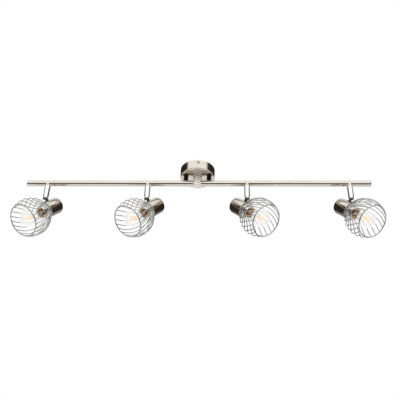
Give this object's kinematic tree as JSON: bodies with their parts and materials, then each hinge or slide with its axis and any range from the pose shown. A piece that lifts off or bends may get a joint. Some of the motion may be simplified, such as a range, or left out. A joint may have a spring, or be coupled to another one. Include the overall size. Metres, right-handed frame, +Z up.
{
  "type": "ceiling spotlight bar",
  "caption": "Ceiling light: a satin nickel bar under a round canopy, with swivelling, tilting spot heads, each a small cup with a frosted lamp inside a globe of twisted chrome wires.",
  "frame": {"origin": "centre of the mounting bracket's top face, which lies against the ceiling", "axes": "+Z up out of the ceiling face, +X along the bar, -Y towards the side the heads face"},
  "size_m": [0.8866, 0.1162, 0.2035],
  "materials": {
    "satin_nickel": "satin nickel plate with fine turned and drawn brushing",
    "bright_chrome": "bright chrome plate",
    "cage_wire": "drawn steel wire, chrome plated and slightly matt",
    "screw_steel": "plain zinc-plated screw steel",
    "zinc_plated_steel": "pressed sheet steel with a bluish zinc passivate",
    "dark_bronze": "burnished bronze-coloured lacquer",
    "black_plastic": "semi-gloss moulded nylon",
    "lead_sheath": "extruded silicone sheath",
    "terminal_plastic": "moulded natural nylon",
    "amber_plastic": "amber-brown phenolic moulding",
    "lamp_brass": "drawn brass with a rolled thread",
    "frosted_glass": "round glass bulb with a fine frosting",
    "lit_burner": "small quartz burner on a glass stem, frosted and warm"
  },
  "bodies": {
    "root": {"bar_left": "satin_nickel", "bar_right": "satin_nickel", "bar_wiring": "lead_sheath", "canopy_cup": "satin_nickel", "canopy_screw": "screw_steel", "ceiling_bracket": "zinc_plated_steel", "centre_post": "satin_nickel", "end_cap_left": "satin_nickel", "end_cap_right": "satin_nickel", "spacer_left": "black_plastic", "spacer_right": "black_plastic", "swivel_boss_1": "satin_nickel", "swivel_boss_2": "satin_nickel", "swivel_boss_3": "satin_nickel", "swivel_boss_4": "satin_nickel", "terminal_block": "terminal_plastic"},
    "arm_1": {"arm_tube_1": "bright_chrome", "tilt_screw_1": "screw_steel"},
    "head_1": {"tongue_1": "dark_bronze", "head_cup_1": "satin_nickel", "lamp_sleeve_1": "bright_chrome", "lampholder_1": "amber_plastic", "ring_nut_1": "bright_chrome", "cage_1": "cage_wire", "lamp_cap_1": "lamp_brass", "lamp_glass_1": "frosted_glass", "lamp_burner_1": "lit_burner"},
    "arm_2": {"arm_tube_2": "bright_chrome", "tilt_screw_2": "screw_steel"},
    "head_2": {"tongue_2": "dark_bronze", "head_cup_2": "satin_nickel", "lamp_sleeve_2": "bright_chrome", "lampholder_2": "amber_plastic", "ring_nut_2": "bright_chrome", "cage_2": "cage_wire", "lamp_cap_2": "lamp_brass", "lamp_glass_2": "frosted_glass", "lamp_burner_2": "lit_burner"},
    "arm_3": {"arm_tube_3": "bright_chrome", "tilt_screw_3": "screw_steel"},
    "head_3": {"tongue_3": "dark_bronze", "head_cup_3": "satin_nickel", "lamp_sleeve_3": "bright_chrome", "lampholder_3": "amber_plastic", "ring_nut_3": "bright_chrome", "cage_3": "cage_wire", "lamp_cap_3": "lamp_brass", "lamp_glass_3": "frosted_glass", "lamp_burner_3": "lit_burner"},
    "arm_4": {"arm_tube_4": "bright_chrome", "tilt_screw_4": "screw_steel"},
    "head_4": {"tongue_4": "dark_bronze", "head_cup_4": "satin_nickel", "lamp_sleeve_4": "bright_chrome", "lampholder_4": "amber_plastic", "ring_nut_4": "bright_chrome", "cage_4": "cage_wire", "lamp_cap_4": "lamp_brass", "lamp_glass_4": "frosted_glass", "lamp_burner_4": "lit_burner"}
  },
  "joints": [
    {"name": "swivel_1", "type": "hinge", "parent": "root", "child": "arm_1", "pos_m": [-0.377, 0, -0.0412], "axis": [0, 0, 1], "range_deg": [-126.8, 203.2]},
    {"name": "tilt_1", "type": "hinge", "parent": "arm_1", "child": "head_1", "pos_m": [-0.377, 0, -0.0856], "axis": [0.7859, -0.6184, 0], "range_deg": [-56.4, 43.6]},
    {"name": "swivel_2", "type": "hinge", "parent": "root", "child": "arm_2", "pos_m": [-0.124, 0, -0.0412], "axis": [0, 0, 1], "range_deg": [-118.3, 211.7]},
    {"name": "tilt_2", "type": "hinge", "parent": "arm_2", "child": "head_2", "pos_m": [-0.124, 0, -0.0856], "axis": [0.6858, -0.7278, 0], "range_deg": [-55.3, 44.7]},
    {"name": "swivel_3", "type": "hinge", "parent": "root", "child": "arm_3", "pos_m": [0.124, 0, -0.0412], "axis": [0, 0, 1], "range_deg": [-215.5, 114.5]},
    {"name": "tilt_3", "type": "hinge", "parent": "arm_3", "child": "head_3", "pos_m": [0.124, 0, -0.0856], "axis": [0.6361, 0.7716, 0], "range_deg": [-52, 48]},
    {"name": "swivel_4", "type": "hinge", "parent": "root", "child": "arm_4", "pos_m": [0.377, 0, -0.0412], "axis": [0, 0, 1], "range_deg": [-205.5, 124.5]},
    {"name": "tilt_4", "type": "hinge", "parent": "arm_4", "child": "head_4", "pos_m": [0.377, 0, -0.0856], "axis": [0.7604, 0.6494, 0], "range_deg": [-55.2, 44.8]}
  ]
}
